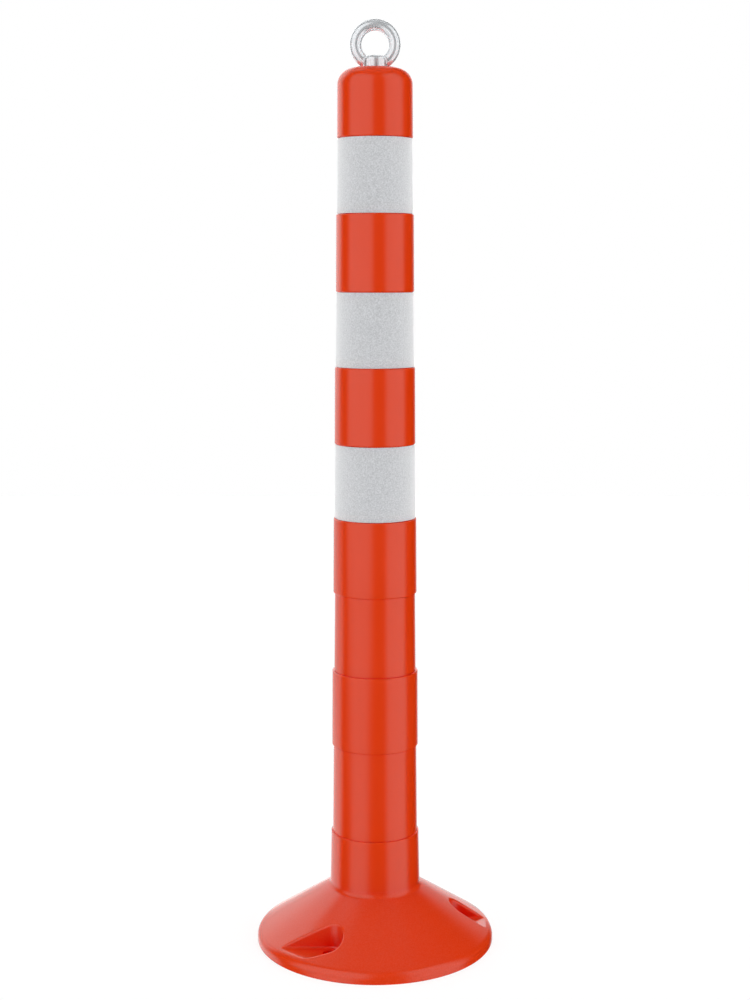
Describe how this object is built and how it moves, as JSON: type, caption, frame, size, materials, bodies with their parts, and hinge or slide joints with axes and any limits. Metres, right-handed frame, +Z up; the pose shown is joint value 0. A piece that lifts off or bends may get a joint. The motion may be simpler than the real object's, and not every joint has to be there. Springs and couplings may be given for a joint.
{
  "type": "flexible delineator post",
  "caption": "Flexible roadside delineator post: a tapered elastomer tube with reflective strips on a round cone foot with anchor pockets, and a chain eye on its rounded cap.",
  "frame": {"origin": "centre of the foot's underside, on the ground", "axes": "+Z up along the post; +X towards the anchor pocket that opens that way, along the mould's opening; -Y towards the picture's camera"},
  "size_m": [0.2042, 0.2042, 0.7912],
  "materials": {
    "elastomer": "satin, coloured through",
    "reflective_film": "fine glass-bead retroreflective",
    "zinc_plate": "bright zinc plate"
  },
  "bodies": {
    "base": {"base_foot": "elastomer", "foot_collar": "elastomer"},
    "lower_flex": {"lower_flex_ring": "elastomer"},
    "middle": {"middle_band": "elastomer"},
    "upper_flex": {"upper_flex_ring": "elastomer"},
    "upper": {"upper_post": "elastomer", "reflective_band_top": "reflective_film", "reflective_band_middle": "reflective_film", "reflective_band_bottom": "reflective_film", "eye_bolt": "zinc_plate", "backing_washer": "zinc_plate", "spring_washer": "zinc_plate"},
    "eye": {"eye_nut": "zinc_plate"}
  },
  "joints": [
    {"name": "lower_sway", "type": "hinge", "parent": "base", "child": "lower_flex", "pos_m": [0, 0, 0.11478], "axis": [0, 1, 0], "range_deg": [-40, 40], "stiffness_Nm_per_rad": 80, "deforming": ["lower_flex_ring"]},
    {"name": "lower_nod", "type": "hinge", "parent": "lower_flex", "child": "middle", "pos_m": [0, 0, 0.15252], "axis": [1, 0, 0], "range_deg": [-40, 40], "stiffness_Nm_per_rad": 80, "deforming": ["lower_flex_ring"]},
    {"name": "upper_sway", "type": "hinge", "parent": "middle", "child": "upper_flex", "pos_m": [0, 0, 0.25327], "axis": [0, 1, 0], "range_deg": [-40, 40], "stiffness_Nm_per_rad": 80, "deforming": ["upper_flex_ring"]},
    {"name": "upper_nod", "type": "hinge", "parent": "upper_flex", "child": "upper", "pos_m": [0, 0, 0.28702], "axis": [1, 0, 0], "range_deg": [-40, 40], "stiffness_Nm_per_rad": 80, "deforming": ["upper_flex_ring"]},
    {"name": "eye_turn", "type": "hinge", "parent": "upper", "child": "eye", "pos_m": [0, 0, 0.75], "axis": [0, 0, 1], "range_deg": [-90, 90]}
  ],
  "couplings": [
    {"joint": "upper_sway", "follows": "lower_sway", "ratio": 1},
    {"joint": "upper_nod", "follows": "lower_nod", "ratio": 1}
  ]
}
